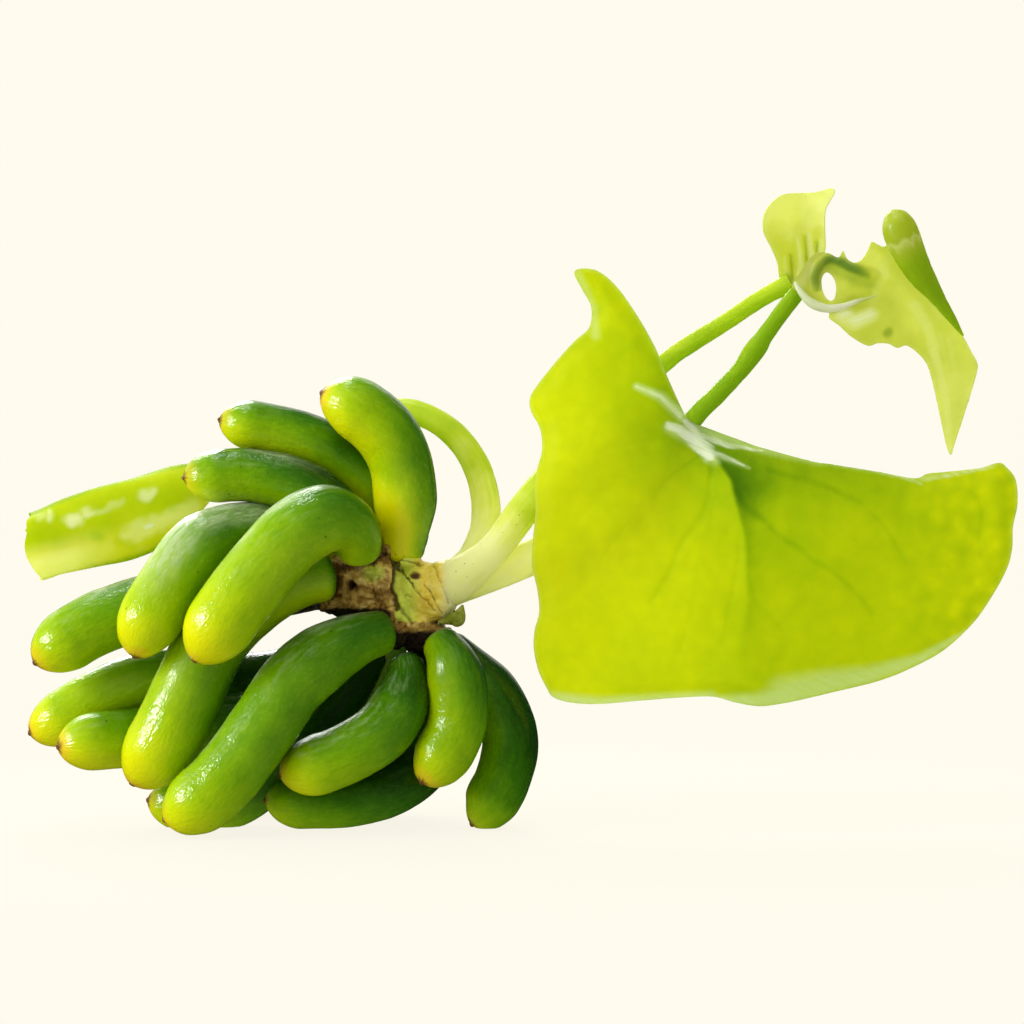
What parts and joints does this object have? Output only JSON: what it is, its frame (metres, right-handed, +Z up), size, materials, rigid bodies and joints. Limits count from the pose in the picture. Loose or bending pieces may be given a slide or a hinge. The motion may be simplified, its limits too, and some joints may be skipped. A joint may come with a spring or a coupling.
{
  "type": "banana plant",
  "caption": "Whole small aquatic plant lying on its side: a bunch of banana-shaped green tubers on a short rootstock, with thin stalks, a broad heart-shaped leaf and small curled leaves.",
  "frame": {"origin": "middle of the plant's box at the level of the surface that it lies on", "axes": "+Z up; +X along the plant, from the tubers' tips to the big leaf; +Y away from the picture's viewer"},
  "size_m": [0.1102, 0.0338, 0.0707],
  "materials": {
    "tuber": "wet glossy green skin, yellower towards the tip",
    "rootstock": "rough brown and yellow-green rootstock",
    "stalk": "smooth pale green, slightly translucent",
    "leaf": "soft satin yellow-green leaf, translucent",
    "young_leaf": "thin pale yellow-green young leaf, translucent"
  },
  "bodies": {
    "root": {"crown": "rootstock", "tuber_01": "tuber", "tuber_02": "tuber", "tuber_03": "tuber", "tuber_04": "tuber", "tuber_05": "tuber", "tuber_06": "tuber", "tuber_07": "tuber", "tuber_08": "tuber", "tuber_09": "tuber", "tuber_10": "tuber", "tuber_11": "tuber", "tuber_12": "tuber", "tuber_13": "tuber", "tuber_14": "tuber", "tuber_15": "tuber", "tuber_16": "tuber", "tuber_17": "tuber", "tuber_18": "tuber", "tuber_19": "tuber", "tuber_20": "tuber", "stalk_rolled_leaf": "stalk", "rolled_leaf": "young_leaf", "stalk_upright_leaf": "stalk", "upright_leaf": "young_leaf", "stem_big_leaf": "stalk", "big_leaf": "leaf", "curled_leaf": "young_leaf", "bract": "stalk", "withered_root": "rootstock"}
  },
  "joints": []
}
